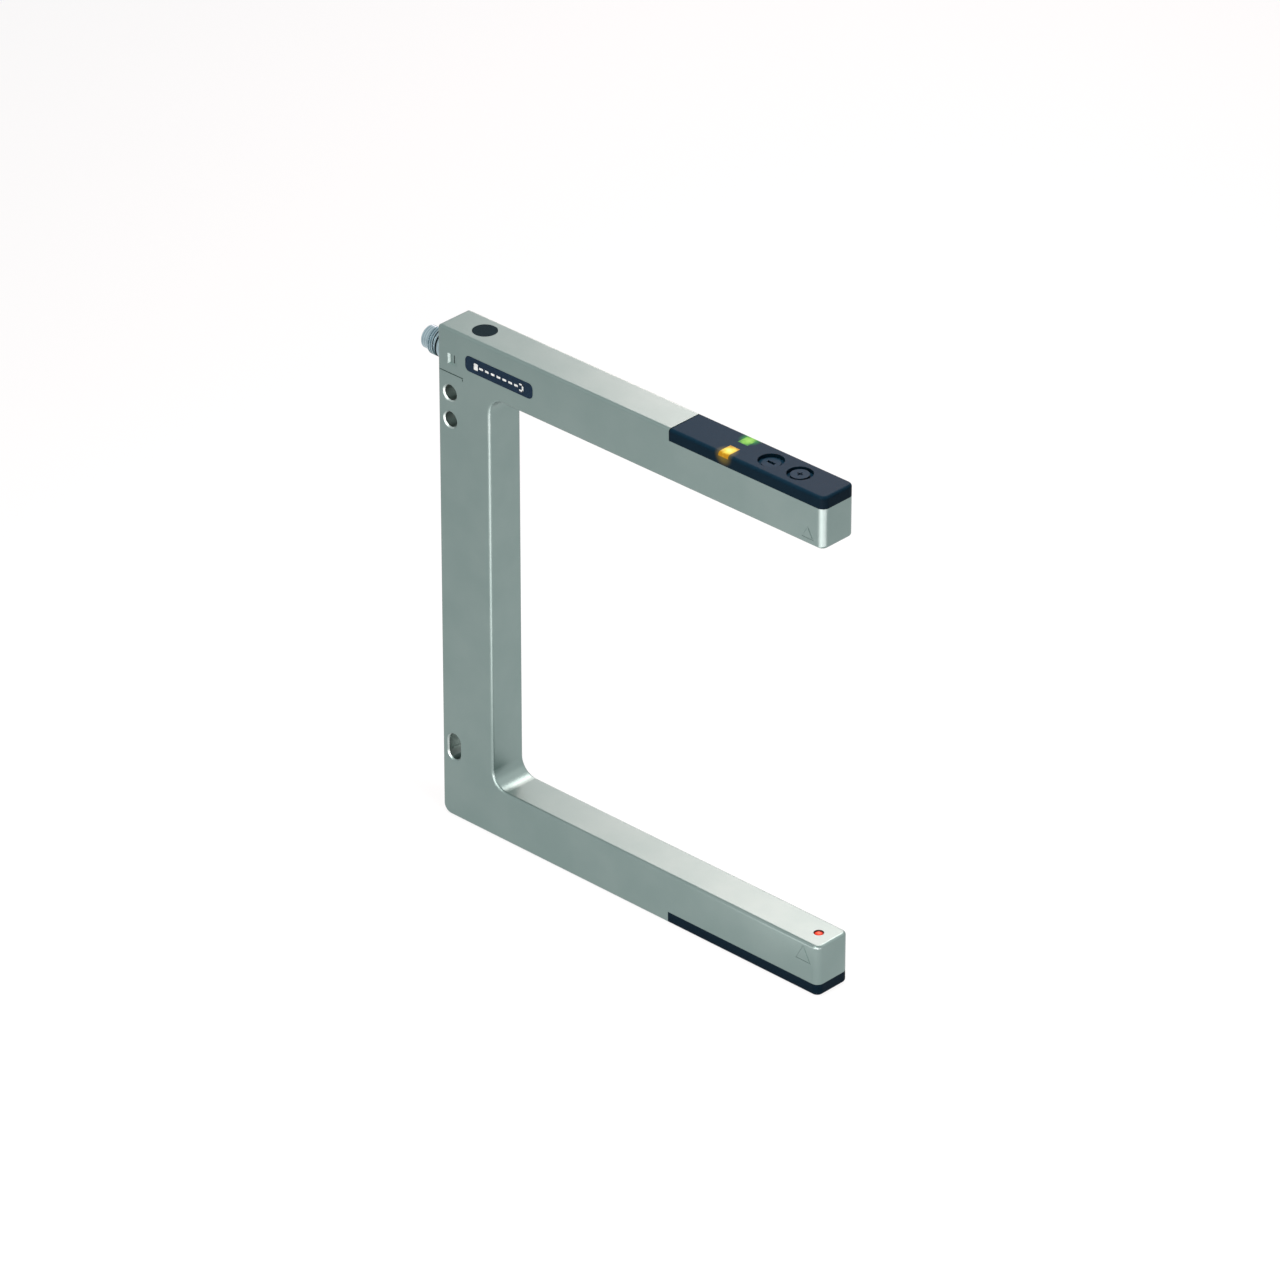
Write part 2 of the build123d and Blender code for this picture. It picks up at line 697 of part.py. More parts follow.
with BuildPart() as connector_insert:
    with BuildSketch(Plane.YZ.offset(insert_face_x)):
        with Locations((0, channel_z)):
            Circle(connector_bore_diameter / 2 - insert_clearance)
    extrude(amount=insert_end_x - insert_face_x)
    with BuildSketch(Plane.YZ.offset(seat_end_x)):
        with Locations((0, channel_z)):
            Circle(insert_flange_diameter / 2)
    extrude(amount=insert_flange_length)
    with BuildSketch(Plane.YZ.offset(insert_face_x)):
        with Locations((0, channel_z)):
            with GridLocations(pin_square, pin_square, 2, 2):
                Circle(pin_diameter / 2 + pin_clearance)
    extrude(amount=insert_end_x - insert_face_x, mode=Mode.SUBTRACT)
finish(connector_insert, "connector_insert")

with BuildPart() as connector_pins:
    with BuildSketch(Plane.YZ.offset(pin_start_x)):
        with Locations((0, channel_z)):
            with GridLocations(pin_square, pin_square, 2, 2):
                Circle(pin_diameter / 2)
    extrude(amount=pin_end_x - pin_start_x)
    chamfer(connector_pins.faces().filter_by(Axis.X).group_by(Axis.X)[0].edges(), pin_diameter / 5)
finish(connector_pins, "connector_pins")

# Leads from the pins to the control board, one behind each pin
with BuildPart() as connector_leads:
    with BuildSketch(Plane.YZ.offset(pin_end_x)):
        with Locations((0, channel_z)):
            with GridLocations(pin_square, pin_square, 2, 2):
                Circle(wire_diameter / 2)
    extrude(amount=header_x - pin_end_x)
finish(connector_leads, "connector_leads")

# Flat ribbon from the control board down the spine to the emitter board
ribbon_start_z = level("upper", channel_height - ribbon_drop)
ribbon_end_z = level("lower", channel_height)
with BuildPart() as link_ribbon:
    with BuildLine(Plane.XZ) as ribbon_route:
        FilletPolyline(
            (header_x, ribbon_start_z),
            (channel_x, ribbon_start_z),
            (channel_x, ribbon_end_z),
            (header_x, ribbon_end_z),
            radius=ribbon_bend_radius,
        )
    with BuildSketch(Plane(origin=ribbon_route.line @ 0, x_dir=(0, 1, 0), z_dir=ribbon_route.line % 0)):
        Rectangle(ribbon_width, ribbon_thickness)
    sweep(path=ribbon_route.line)
finish(link_ribbon, "link_ribbon")
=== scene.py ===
"""Looks of the fork light barrier: each finish, the threaded connector, the printed plate and the light.

Everything is in metres, in the part's own frame: X out along the arms, Y through the thickness, Z up.
"""

import json
import math

import bpy
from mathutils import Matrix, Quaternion, Vector


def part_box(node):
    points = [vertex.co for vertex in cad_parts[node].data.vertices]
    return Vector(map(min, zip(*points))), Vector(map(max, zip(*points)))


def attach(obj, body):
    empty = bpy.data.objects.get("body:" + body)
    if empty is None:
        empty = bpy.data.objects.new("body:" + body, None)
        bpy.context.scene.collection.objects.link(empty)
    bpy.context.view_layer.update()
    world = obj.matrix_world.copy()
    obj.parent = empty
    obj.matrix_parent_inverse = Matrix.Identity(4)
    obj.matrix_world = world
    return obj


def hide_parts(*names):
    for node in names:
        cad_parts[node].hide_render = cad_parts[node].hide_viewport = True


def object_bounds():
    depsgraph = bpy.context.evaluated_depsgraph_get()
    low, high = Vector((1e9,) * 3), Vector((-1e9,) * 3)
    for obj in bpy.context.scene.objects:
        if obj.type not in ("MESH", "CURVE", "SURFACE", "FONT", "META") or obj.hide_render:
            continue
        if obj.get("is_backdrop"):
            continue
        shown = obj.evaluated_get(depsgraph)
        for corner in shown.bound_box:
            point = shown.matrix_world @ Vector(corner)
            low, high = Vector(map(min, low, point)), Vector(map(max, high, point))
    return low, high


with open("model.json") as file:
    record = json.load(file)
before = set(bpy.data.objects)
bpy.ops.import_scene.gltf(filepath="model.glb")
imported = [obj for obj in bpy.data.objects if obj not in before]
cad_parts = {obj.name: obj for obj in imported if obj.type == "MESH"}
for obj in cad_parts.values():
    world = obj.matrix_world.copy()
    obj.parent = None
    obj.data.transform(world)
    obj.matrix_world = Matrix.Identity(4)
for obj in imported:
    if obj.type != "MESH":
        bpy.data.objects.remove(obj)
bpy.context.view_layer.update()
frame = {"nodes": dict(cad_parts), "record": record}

MM = 0.001

# Camera, solved from the housing's corners in the photograph
FRAME_PIXELS = 1280
FOCAL_PIXELS = 8847.4
SENSOR_WIDTH_MM = 36.0
CAMERA_PLACE = (1.46522, -1.47073, 1.11683)
CAMERA_AZIMUTH = 43.612
CAMERA_ELEVATION = 29.934

# Connector: its ring groove, its thread, with turns as far apart as they show, and its tip
GROOVE_LENGTH = 0.7 * MM
THREAD_PITCH = 0.76 * MM
THREAD_DEPTH = 0.36 * MM
THREAD_CREST = 0.3 * MM
THREAD_BASE = 0.7 * MM
THREAD_TURNS = 3
THREAD_LENGTH = 3.0 * MM
THREAD_CHAMFER = 0.5 * MM
TIP_RADIUS = 3.3 * MM
TIP_CHAMFER = 0.35 * MM
SEAT_RADIUS = 3.45 * MM
BORE_RADIUS = 2.6 * MM
EDGE_BREAK = 0.18 * MM
RING_SQUEEZE = 0.98
RING_STEPS = 20
ROUND_STEPS = 96

# How far one solid reaches into another that it joins or cuts, and how close two points count as one
OVERLAP = 0.1 * MM
SAME_POINT = 0.001 * MM

# Plate on the upper arm: its corners, its broken edge, and the rim round its sunk field
PLATE_CORNER = 1.45 * MM
CORNER_STEPS = 10
PLATE_EDGE = 0.06 * MM
EDGE_STEPS = 2
PLATE_RIM = 0.3 * MM
PLATE_FIELD_DEPTH = 0.04 * MM

# Print in the plate's field, which stays just under the rim: widths and heights as seen from the front
PRINT_UNDER_RIM = 0.01 * MM
PRINT_IN_FIELD = 0.02 * MM
PRINT_EDGE = 0.008 * MM
DASH_COUNT = 7
DASH_PITCH = 2.15 * MM
DASH_WIDTH = 1.35 * MM
DASH_HEIGHT = 0.62 * MM
BEAM_END_GAP = 1.25 * MM
SOURCE_WIDTH = 1.5 * MM
SOURCE_HEIGHT = 2.0 * MM
BRACKET_HEIGHT = 2.3 * MM
BRACKET_STROKE = 0.5 * MM
BRACKET_LIP = 1.5 * MM

# Block that holds the walls and rims of the fixing holes, just short of the front and rear faces, where a
# lighter metal is painted as their highlight
HOLES_REACH_X = 2.7 * MM
HOLES_REACH_Y = 5.98 * MM
HOLES_MIDDLE_Z = -55.0 * MM
HOLES_REACH_Z = 58.0 * MM

# Painted glow on the cover round each lit window: how far out from the middle plane and how far under the
# window's top it has its centre, how far it glows in full, and over what length it then fades
PAINTED_GLOW_SIDE = 4.6 * MM
PAINTED_GLOW_DEPTH = 0.6 * MM
PAINTED_GLOW_CORE = 1.1 * MM
PAINTED_GLOW_FADE = 2.6 * MM

# Glow of a lit window: how far it reaches, as a share of the window's width, and how much its ribs shift it,
# then the radius of the emitter's glow
GLOW_REACH = 0.75
GLOW_RIBS = 0.7
EMITTER_GLOW_RADIUS = 1.4 * MM

# Floor: its size in metres, how far it lies under the part, its own white, and the share that takes a shadow
FLOOR_SIZE = 12
FLOOR_DROP = 0.01 * MM
FLOOR_WHITE = 0.86
FLOOR_SHADED = 0.16

# Strength of the soft light from all round
WORLD_LIGHT = 0.1


# Small tools for pieces

def new_piece(name):
    """Name the active piece, which the last operator made, and return it."""
    piece = bpy.context.object
    piece.name = name
    piece.data.name = name
    return piece


def deselect():
    """Let go of all that is selected, because an operator acts on all of it."""
    bpy.ops.object.select_all(action="DESELECT")


def select_where(piece, kind, wanted):
    """In edit mode, select only the vertices, edges or faces for which wanted is true."""
    bpy.ops.mesh.select_mode(type={"vertices": "VERT", "edges": "EDGE", "polygons": "FACE"}[kind])
    bpy.ops.mesh.select_all(action="DESELECT")
    bpy.ops.object.mode_set(mode="OBJECT")
    mesh = piece.data
    for item in getattr(mesh, kind):
        item.select = wanted(item)
    bpy.ops.object.mode_set(mode="EDIT")


def apply_place(piece):
    """Put the piece's place and turn into its mesh."""
    deselect()
    piece.select_set(True)
    bpy.context.view_layer.objects.active = piece
    bpy.ops.object.transform_apply(location=True, rotation=True, scale=True)


def smooth(piece, degrees):
    """Shade the piece smooth, but for edges sharper than this angle."""
    deselect()
    piece.select_set(True)
    bpy.context.view_layer.objects.active = piece
    bpy.ops.object.shade_smooth_by_angle(angle=math.radians(degrees))


def join(pieces, name):
    """Join several pieces in one."""
    deselect()
    for piece in pieces:
        piece.select_set(True)
    bpy.context.view_layer.objects.active = pieces[0]
    bpy.ops.object.join()
    return new_piece(name)


def trace_loop(name, points):
    """A closed loop of edges through (x, radius) points in the XZ plane, drawn by extruding one vertex."""
    deselect()
    bpy.ops.mesh.primitive_plane_add(size=MM)
    piece = new_piece(name)
    bpy.ops.object.mode_set(mode="EDIT")
    bpy.ops.mesh.merge(type="CENTER")
    first = Vector((points[0][0], 0, points[0][1]))
    bpy.ops.transform.translate(value=first)
    here = first
    for x, radius in points[1:]:
        there = Vector((x, 0, radius))
        bpy.ops.mesh.extrude_region_move(TRANSFORM_OT_translate={"value": there - here})
        here = there
    select_where(piece, "vertices", lambda v: min((v.co - first).length, (v.co - here).length) < SAME_POINT)
    bpy.ops.mesh.edge_face_add()
    bpy.ops.object.mode_set(mode="OBJECT")
    return piece


def turned(name, profile):
    """A ring turned about the X axis from the (x, radius) points of its section."""
    piece = trace_loop(name, profile)
    bpy.ops.object.mode_set(mode="EDIT")
    bpy.ops.mesh.select_all(action="SELECT")
    bpy.ops.mesh.spin(steps=ROUND_STEPS, angle=math.tau, center=(0, 0, 0), axis=(1, 0, 0))
    bpy.ops.mesh.select_all(action="SELECT")
    bpy.ops.mesh.remove_doubles(threshold=SAME_POINT)
    bpy.ops.mesh.normals_make_consistent(inside=False)
    bpy.ops.object.mode_set(mode="OBJECT")
    return piece


def combine(piece, other, operation):
    """Join another solid to a piece, or cut it away, and use it up."""
    change = piece.modifiers.new("combine", "BOOLEAN")
    change.operation = operation
    change.solver = "EXACT"
    change.object = other
    bpy.context.view_layer.objects.active = piece
    bpy.ops.object.modifier_apply(modifier=change.name)
    bpy.data.objects.remove(other)


# Pieces

def thread_ridge(start, sunk, outer):
    """The thread's ridge: its section screwed along the axis, with both ends closed."""
    ridge = trace_loop("thread_ridge", [
        (start - THREAD_BASE / 2, sunk),
        (start - THREAD_CREST / 2, outer),
        (start + THREAD_CREST / 2, outer),
        (start + THREAD_BASE / 2, sunk),
    ])
    screw = ridge.modifiers.new("thread", "SCREW")
    screw.axis = "X"
    screw.angle = math.tau
    screw.screw_offset = THREAD_PITCH
    screw.iterations = THREAD_TURNS
    screw.steps = ROUND_STEPS
    screw.render_steps = ROUND_STEPS
    screw.use_normal_calculate = True
    bpy.context.view_layer.objects.active = ridge
    bpy.ops.object.modifier_apply(modifier=screw.name)
    bpy.ops.object.mode_set(mode="EDIT")
    bpy.ops.mesh.select_all(action="SELECT")
    bpy.ops.mesh.region_to_loop()
    bpy.ops.mesh.edge_face_add()
    bpy.ops.mesh.select_all(action="SELECT")
    bpy.ops.mesh.normals_make_consistent(inside=False)
    bpy.ops.object.mode_set(mode="OBJECT")
    return ridge


def lead_in_cutter(thread_end, outer):
    """A ring that cuts the chamfer on the thread's first turn."""
    return turned("thread_lead_in", [
        (thread_end - OVERLAP, outer - THREAD_CHAMFER - OVERLAP),
        (thread_end + THREAD_CHAMFER + OVERLAP, outer + OVERLAP),
        (thread_end - OVERLAP, outer + OVERLAP),
    ])


def connector_barrel():
    """Turned M8 barrel: collar, ring groove, a real helical thread and a stepped tip."""
    low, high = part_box("connector_shell")
    ring_low, ring_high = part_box("connector_o_ring")
    axis_z = (low.z + high.z) / 2
    outer = (high.z - low.z) / 2
    root = outer - THREAD_DEPTH
    groove_floor = outer - (ring_high.x - ring_low.x)
    groove_middle = (ring_low.x + ring_high.x) / 2
    groove_start = groove_middle + GROOVE_LENGTH / 2
    thread_start = groove_middle - GROOVE_LENGTH / 2
    thread_end = thread_start - THREAD_LENGTH
    collar_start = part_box("housing")[0].x
    profile = [
        (high.x, BORE_RADIUS),
        (high.x, SEAT_RADIUS),
        (collar_start, SEAT_RADIUS),
        (collar_start, outer - EDGE_BREAK),
        (collar_start - EDGE_BREAK, outer),
        (groove_start + EDGE_BREAK, outer),
        (groove_start, outer - EDGE_BREAK),
        (groove_start, groove_floor),
        (thread_start, groove_floor),
        (thread_start, root),
        (thread_end, root),
        (thread_end, TIP_RADIUS),
        (low.x + TIP_CHAMFER, TIP_RADIUS),
        (low.x, TIP_RADIUS - TIP_CHAMFER),
        (low.x, BORE_RADIUS + EDGE_BREAK),
        (low.x + EDGE_BREAK, BORE_RADIUS),
    ]
    barrel = turned("connector_barrel", profile)
    bare_length = THREAD_LENGTH - THREAD_BASE - THREAD_TURNS * THREAD_PITCH
    first_turn = thread_end + bare_length / 2 + THREAD_BASE / 2
    combine(barrel, thread_ridge(first_turn, root - OVERLAP, outer), "UNION")
    combine(barrel, lead_in_cutter(thread_end, outer), "DIFFERENCE")
    barrel.location = (0, 0, axis_z)
    apply_place(barrel)
    smooth(barrel, 35)
    return barrel


def connector_ring():
    """Moulded sealing ring in the barrel's groove, pressed a little flat by its walls."""
    low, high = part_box("connector_o_ring")
    section = (high.x - low.x) / 2
    outer = (high.z - low.z) / 2
    middle = ((low.x + high.x) / 2, 0, (low.z + high.z) / 2)
    deselect()
    bpy.ops.mesh.primitive_torus_add(
        location=middle,
        rotation=(0, math.pi / 2, 0),
        major_radius=outer - section,
        minor_radius=section,
        major_segments=ROUND_STEPS,
        minor_segments=RING_STEPS,
    )
    ring = new_piece("connector_ring")
    apply_place(ring)
    bpy.ops.object.mode_set(mode="EDIT")
    bpy.ops.mesh.select_all(action="SELECT")
    bpy.ops.transform.resize(value=(RING_SQUEEZE, 1, 1), center_override=middle)
    bpy.ops.object.mode_set(mode="OBJECT")
    smooth(ring, 60)
    return ring


def plate_blank(name, low, high, corner, edge):
    """A thin upright plate between two corners of a box, with round corners and a broken front edge."""
    size = high - low

    def at_corner(line):
        start, end = (plate.data.vertices[i].co for i in line.vertices)
        return abs(start.y - end.y) > size.y / 2

    def in_front(line):
        return all(plate.data.vertices[i].co.y < low.y + size.y / 100 for i in line.vertices)

    deselect()
    bpy.ops.mesh.primitive_cube_add(size=1, location=(low + high) / 2)
    plate = new_piece(name)
    plate.scale = size
    apply_place(plate)
    bpy.ops.object.mode_set(mode="EDIT")
    select_where(plate, "edges", at_corner)
    bpy.ops.mesh.bevel(offset=corner, segments=CORNER_STEPS, affect="EDGES")
    select_where(plate, "edges", in_front)
    bpy.ops.mesh.bevel(offset=edge, segments=EDGE_STEPS, affect="EDGES")
    bpy.ops.object.mode_set(mode="OBJECT")
    return plate


def front_plate():
    """Dark plate with a raised rim round its field."""
    low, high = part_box("label_plate")
    size = high - low
    plate = plate_blank("front_plate", low, high, PLATE_CORNER, PLATE_EDGE)
    bpy.ops.object.mode_set(mode="EDIT")
    select_where(plate, "polygons", lambda f: f.normal.y < -0.99 and f.area > size.x * size.z / 2)
    bpy.ops.mesh.inset(thickness=PLATE_RIM, depth=0)
    bpy.ops.mesh.inset(thickness=PLATE_FIELD_DEPTH, depth=-PLATE_FIELD_DEPTH)
    bpy.ops.object.mode_set(mode="OBJECT")
    smooth(plate, 30)
    return plate


def plate_print():
    """Light print on the plate: an upright source, a dashed beam and an open bracket that receives it."""
    low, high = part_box("label_plate")
    middle_x = (low.x + high.x) / 2
    middle_z = (low.z + high.z) / 2
    front = low.y + PRINT_UNDER_RIM
    back = low.y + PLATE_FIELD_DEPTH + PRINT_IN_FIELD

    def mark(name, x, z, width, height):
        corner_low = Vector((x - width / 2, front, z - height / 2))
        corner_high = Vector((x + width / 2, back, z + height / 2))
        return plate_blank(name, corner_low, corner_high, min(width, height) / 4, PRINT_EDGE)

    marks = []
    for step in range(DASH_COUNT):
        x = middle_x + (step - (DASH_COUNT - 1) / 2) * DASH_PITCH
        marks.append(mark(f"beam_dash_{step}", x, middle_z, DASH_WIDTH, DASH_HEIGHT))
    end = (DASH_COUNT - 1) / 2 * DASH_PITCH + DASH_WIDTH / 2 + BEAM_END_GAP
    marks.append(mark("beam_source", middle_x - end, middle_z, SOURCE_WIDTH, SOURCE_HEIGHT))
    back_x = middle_x + end + BRACKET_STROKE
    marks.append(mark("bracket_back", back_x, middle_z, BRACKET_STROKE, BRACKET_HEIGHT))
    for side in (-1, 1):
        z = middle_z + side * (BRACKET_HEIGHT - BRACKET_STROKE) / 2
        marks.append(mark(f"bracket_lip_{side}", middle_x + end, z, BRACKET_LIP, BRACKET_STROKE))
    return join(marks, "plate_print")


# Small tools for finishes

def linear(hex_colour, alpha=1.0):
    """An sRGB hex colour as the linear colour that the shaders take."""
    parts = [int(hex_colour[i:i + 2], 16) / 255 for i in (1, 3, 5)]
    return tuple(p / 12.92 if p <= 0.04045 else ((p + 0.055) / 1.055) ** 2.4 for p in parts) + (alpha,)


def per_mm(size):
    """Scale of a pattern whose features are this many millimetres across."""
    return 1 / (size * MM)


def add(tree, kind, inputs=None, **settings):
    """Add a node with its settings, and give each input, by its name or its number, a value or a link."""
    made = tree.nodes.new(kind)
    for name, value in settings.items():
        setattr(made, name, value)
    for name, value in (inputs or {}).items():
        if isinstance(value, bpy.types.NodeSocket):
            tree.links.new(value, made.inputs[name])
        else:
            made.inputs[name].default_value = value
    return made


def finish(name, **shader):
    """A new material with its shader set, and the coordinates that its patterns read."""
    material = bpy.data.materials.new(name)
    material.use_nodes = True
    tree = material.node_tree
    surface = tree.nodes["Principled BSDF"]
    for socket, value in shader.items():
        surface.inputs[socket.replace("_", " ")].default_value = value
    coordinates = add(tree, "ShaderNodeTexCoord").outputs["Object"]
    return material, tree, surface, coordinates


def two_tone(tree, surface, factor, dark, light, low=0.35, high=0.65):
    """Colour the surface between two near tones, where a pattern runs from low to high."""
    ramp = add(tree, "ShaderNodeValToRGB", {"Fac": factor})
    ramp.color_ramp.elements[0].position = low
    ramp.color_ramp.elements[0].color = linear(dark)
    ramp.color_ramp.elements[1].position = high
    ramp.color_ramp.elements[1].color = linear(light)
    tree.links.new(ramp.outputs["Color"], surface.inputs["Base Color"])
    return ramp


def uneven_gloss(tree, surface, factor, low, high):
    """Let the roughness wander between two values with a pattern."""
    spread = add(tree, "ShaderNodeMapRange", {"Value": factor, "To Min": low, "To Max": high})
    tree.links.new(spread.outputs["Result"], surface.inputs["Roughness"])


def lit_through(tree, surface, away, core, body, rim, stops):
    """Let the surface glow in three tones, from its core out to its rim, as a distance passes three stops."""
    glow = add(tree, "ShaderNodeValToRGB", {"Fac": away})
    core_stop, body_stop, rim_stop = stops
    glow.color_ramp.elements[0].position = core_stop
    glow.color_ramp.elements[0].color = linear(core)
    glow.color_ramp.elements[1].position = rim_stop
    glow.color_ramp.elements[1].color = linear(rim)
    glow.color_ramp.elements.new(body_stop).color = linear(body)
    tree.links.new(glow.outputs["Color"], surface.inputs["Emission Color"])


def relief(tree, surface, height, depth_mm, strength=1.0):
    """Raise and sink the surface by a pattern, this many millimetres deep."""
    bump = add(tree, "ShaderNodeBump", {"Height": height, "Strength": strength, "Distance": depth_mm * MM})
    tree.links.new(bump.outputs["Normal"], surface.inputs["Normal"])


# Finishes

def nickel_plated_zinc():
    """Zinc die casting, blasted and nickel plated: a satin grey metal with a hardly visible cast skin.

    The walls and rims of the fixing holes are painted a lighter metal, as a painted highlight, so they shine
    brighter.
    """
    material, tree, surface, place = finish("satin nickel on cast zinc", Metallic=1.0, Roughness=0.37)
    cloud = add(tree, "ShaderNodeTexNoise", {"Vector": place, "Scale": per_mm(14), "Detail": 3.0})
    plating = two_tone(tree, surface, cloud.outputs["Fac"], "#7B8D8A", "#80918E")
    axes = add(tree, "ShaderNodeSeparateXYZ", {"Vector": place})
    # Painted highlight: a mask of the block round the fixing holes
    hole_highlight_mask = 1.0
    for axis, middle, reach in (("X", 0.0, HOLES_REACH_X), ("Y", 0.0, HOLES_REACH_Y),
                                ("Z", HOLES_MIDDLE_Z, HOLES_REACH_Z)):
        within = add(tree, "ShaderNodeMath", {0: axes.outputs[axis], 1: middle, 2: reach},
                     operation="COMPARE")
        both = add(tree, "ShaderNodeMath", {0: within.outputs["Value"], 1: hole_highlight_mask}, operation="MULTIPLY")
        hole_highlight_mask = both.outputs["Value"]
    # Painted highlight: inside that block the metal colour is lighter
    cut = add(tree, "ShaderNodeMix", {"Factor": hole_highlight_mask, "A": plating.outputs["Color"],
                                      "B": linear("#9DAAA7")}, data_type="RGBA")
    tree.links.new(cut.outputs["Result"], surface.inputs["Base Color"])
    skin = add(tree, "ShaderNodeTexNoise", {"Vector": place, "Scale": per_mm(0.5), "Detail": 4.0,
                                            "Roughness": 0.6})
    uneven_gloss(tree, surface, skin.outputs["Fac"], 0.33, 0.41)
    relief(tree, surface, skin.outputs["Fac"], 0.004, 0.5)
    return material


def black_cover_plastic():
    """Glass-filled nylon, moulded against a fine eroded tool: blue-black and matt, with a soft sheen.

    Close round each lit window the plastic gets a painted glow in the window's colour.
    """
    material, tree, surface, place = finish("moulded black nylon", Roughness=0.4, Specular_IOR_Level=0.025,
                                            Emission_Strength=1.0)
    # Painted glow: an emission that fades out from a point under each lit window
    painted_glows = []
    for node, side, colour in (("yellow_light_pipe", -1, "#766010"), ("green_light_pipe", 1, "#30901E")):
        low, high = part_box(node)
        source = ((low.x + high.x) / 2, side * PAINTED_GLOW_SIDE, high.z - PAINTED_GLOW_DEPTH)
        away = add(tree, "ShaderNodeVectorMath", {0: place, 1: source}, operation="DISTANCE")
        fade = add(tree, "ShaderNodeMapRange", {
            "Value": away.outputs["Value"],
            "From Min": PAINTED_GLOW_CORE,
            "From Max": PAINTED_GLOW_CORE + PAINTED_GLOW_FADE,
            "To Min": 1.0,
            "To Max": 0.0,
        }, interpolation_type="SMOOTHSTEP")
        painted_glow = add(tree, "ShaderNodeVectorMath", {0: linear(colour)[:3], "Scale": fade.outputs["Result"]},
                   operation="SCALE")
        painted_glows.append(painted_glow.outputs["Vector"])
    both = add(tree, "ShaderNodeVectorMath", {0: painted_glows[0], 1: painted_glows[1]}, operation="ADD")
    tree.links.new(both.outputs["Vector"], surface.inputs["Emission Color"])
    grain = add(tree, "ShaderNodeTexNoise", {"Vector": place, "Scale": per_mm(0.22), "Detail": 2.0})
    two_tone(tree, surface, grain.outputs["Fac"], "#05151F", "#081A25")
    uneven_gloss(tree, surface, grain.outputs["Fac"], 0.36, 0.44)
    relief(tree, surface, grain.outputs["Fac"], 0.008, 0.6)
    return material


def black_rubber():
    """Moulded nitrile rubber: dead black, with a dull bloom."""
    material, tree, surface, place = finish("nitrile rubber", Roughness=0.72, Specular_IOR_Level=0.02)
    bloom = add(tree, "ShaderNodeTexNoise", {"Vector": place, "Scale": per_mm(0.4), "Detail": 3.0})
    two_tone(tree, surface, bloom.outputs["Fac"], "#0D1619", "#141E22")
    relief(tree, surface, bloom.outputs["Fac"], 0.01, 0.4)
    return material


def lit_window(name, node, body, rim, light, core, strength):
    """Tinted polycarbonate, lit from behind: brightest over its lamp, and uneven from its diffusing ribs."""
    material, tree, surface, place = finish(name, Roughness=0.4, Specular_IOR_Level=0.1,
                                            Base_Color=linear(body), Emission_Strength=strength)
    low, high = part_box(node)
    middle = (low + high) / 2
    centred = add(tree, "ShaderNodeMapping", {"Vector": place, "Location": (-middle.x, -middle.y, 0),
                                              "Scale": (1, 1, 0)})
    from_lamp = add(tree, "ShaderNodeVectorMath", {0: centred.outputs["Vector"]}, operation="LENGTH")
    share = add(tree, "ShaderNodeMath", {0: from_lamp.outputs["Value"], 1: (high.x - low.x) * GLOW_REACH},
                operation="DIVIDE")
    ribs = add(tree, "ShaderNodeTexNoise", {"Vector": place, "Scale": per_mm(1.3), "Detail": 1.0})
    uneven = add(tree, "ShaderNodeMath", {0: ribs.outputs["Fac"], 1: GLOW_RIBS, 2: -GLOW_RIBS / 2},
                 operation="MULTIPLY_ADD")
    spread = add(tree, "ShaderNodeMath", {0: share.outputs["Value"], 1: uneven.outputs["Value"]},
                 operation="ADD")
    lit_through(tree, surface, spread.outputs["Value"], core, light, rim, (0.08, 0.5, 0.92))
    relief(tree, surface, ribs.outputs["Fac"], 0.03, 0.4)
    return material


def yellow_window_plastic():
    """Output window: warm yellow, almost white over its lamp."""
    return lit_window("lit yellow polycarbonate", "yellow_light_pipe", body="#3A2A04", rim="#B07A0E",
                      light="#F4D848", core="#FFF890", strength=1.0)


def green_window_plastic():
    """Power window: leaf green, softer than the yellow one."""
    return lit_window("lit green polycarbonate", "green_light_pipe", body="#123A0C", rim="#2E7A1A",
                      light="#8CCC44", core="#AAE262", strength=0.72)


def led_ceramic():
    """Fired alumina body of a surface-mounted lamp: chalky off-white."""
    material, tree, surface, place = finish("white alumina", Roughness=0.6)
    speckle = add(tree, "ShaderNodeTexNoise", {"Vector": place, "Scale": per_mm(0.15), "Detail": 2.0})
    two_tone(tree, surface, speckle.outputs["Fac"], "#DAD6C8", "#F0EDE2")
    return material


def control_plastic():
    """Moulded acetal, close to the cover's colour, its sheen a little uneven from wear."""
    material, tree, surface, place = finish("moulded acetal", Roughness=0.4, Specular_IOR_Level=0.03)
    wear = add(tree, "ShaderNodeTexNoise", {"Vector": place, "Scale": per_mm(0.7), "Detail": 4.0})
    two_tone(tree, surface, wear.outputs["Fac"], "#061823", "#0A1D29")
    uneven_gloss(tree, surface, wear.outputs["Fac"], 0.34, 0.46)
    relief(tree, surface, wear.outputs["Fac"], 0.01, 0.4)
    return material


def trimmer_plastic():
    """Blue moulded thermoset of a trimmer body, with faint flow lines."""
    material, tree, surface, place = finish("blue moulded thermoset", Roughness=0.4)
    flow = add(tree, "ShaderNodeTexWave", {"Vector": place, "Scale": per_mm(9), "Distortion": 3.0,
                                           "Detail": 2.0})
    two_tone(tree, surface, flow.outputs["Fac"], "#21407F", "#2B4C8F")
    return material


def board_laminate():
    """Glass fibre laminate under green solder resist: the weave shows as a faint 0.8 mm check."""
    material, tree, surface, place = finish("green solder resist on laminate", Roughness=0.3)
    weave = add(tree, "ShaderNodeTexChecker", {"Vector": place, "Scale": per_mm(0.8), "Color1": (1, 1, 1, 1),
                                               "Color2": (0, 0, 0, 1)})
    two_tone(tree, surface, weave.outputs["Fac"], "#14532A", "#1A6234", 0.0, 1.0)
    relief(tree, surface, weave.outputs["Fac"], 0.01, 0.3)
    return material


